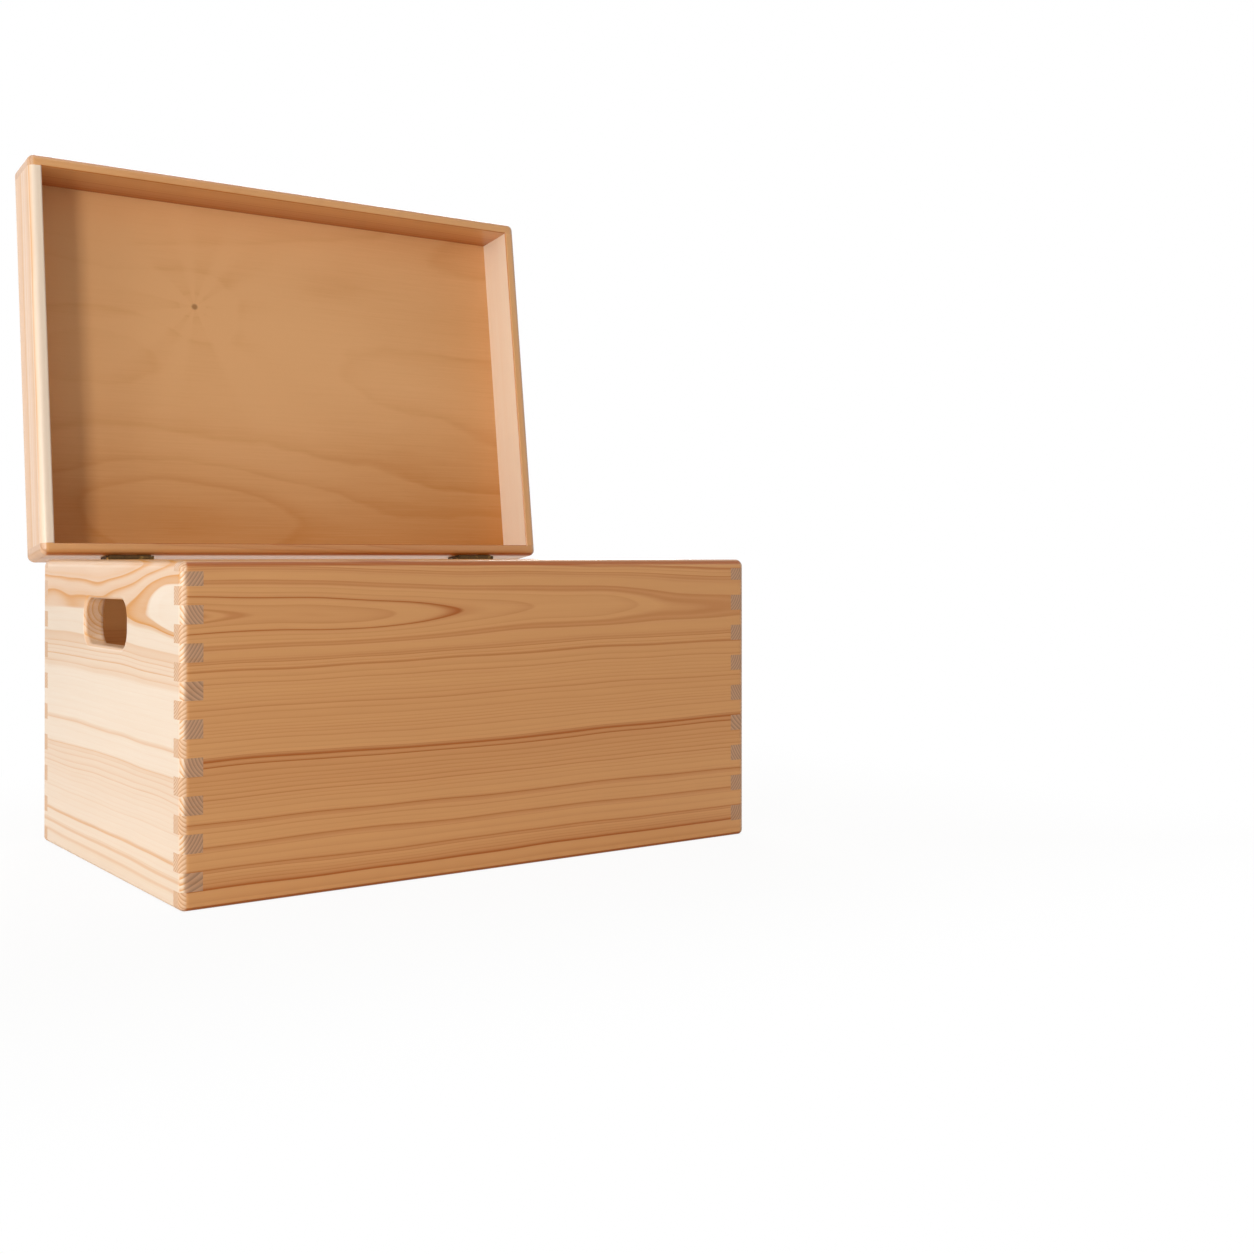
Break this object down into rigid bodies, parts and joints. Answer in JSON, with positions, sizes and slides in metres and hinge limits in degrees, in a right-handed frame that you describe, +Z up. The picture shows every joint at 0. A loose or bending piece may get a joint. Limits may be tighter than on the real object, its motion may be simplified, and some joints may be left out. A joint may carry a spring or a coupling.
{
  "type": "keepsake box",
  "caption": "Wooden keepsake box with comb-jointed walls, oval hand holes in its short sides and a hinged, framed lid that stands open on stop hinges.",
  "frame": {"origin": "middle of the flat underside on which the box stands", "axes": "+Z up, +X along the length to the right, -Y towards the front, with the hinges at +Y"},
  "size_m": [0.4, 0.3895, 0.4998],
  "materials": {
    "pine_body": "pine, sanded and lacquered, satin",
    "pine_lid": "pine, sanded and lacquered, satin",
    "plywood_lid": "birch plywood, matt lacquer, with a printed outer face",
    "plywood_bottom": "birch plywood, matt lacquer",
    "hinge_brass": "brass-plated sheet steel, slightly dulled",
    "hinge_pin": "brass-plated steel pin",
    "screw_brass": "brass-plated steel screws with cross slots"
  },
  "bodies": {
    "box": {"front_wall": "pine_body", "back_wall": "pine_body", "left_wall": "pine_body", "right_wall": "pine_body", "bottom_panel": "plywood_bottom", "left_hinge_body_leaf": "hinge_brass", "left_hinge_pin": "hinge_pin", "left_hinge_body_screws": "screw_brass", "right_hinge_body_leaf": "hinge_brass", "right_hinge_pin": "hinge_pin", "right_hinge_body_screws": "screw_brass"},
    "lid": {"lid_front_rail": "pine_lid", "lid_back_rail": "pine_lid", "lid_left_rail": "pine_lid", "lid_right_rail": "pine_lid", "lid_panel": "plywood_lid", "left_hinge_lid_leaf": "hinge_brass", "left_hinge_lid_screws": "screw_brass", "right_hinge_lid_leaf": "hinge_brass", "right_hinge_lid_screws": "screw_brass"}
  },
  "joints": [
    {"name": "lid_hinge", "type": "hinge", "parent": "box", "child": "lid", "pos_m": [0, 0.1532, 0.2002], "axis": [1, 0, 0], "range_deg": [0, 98]}
  ]
}
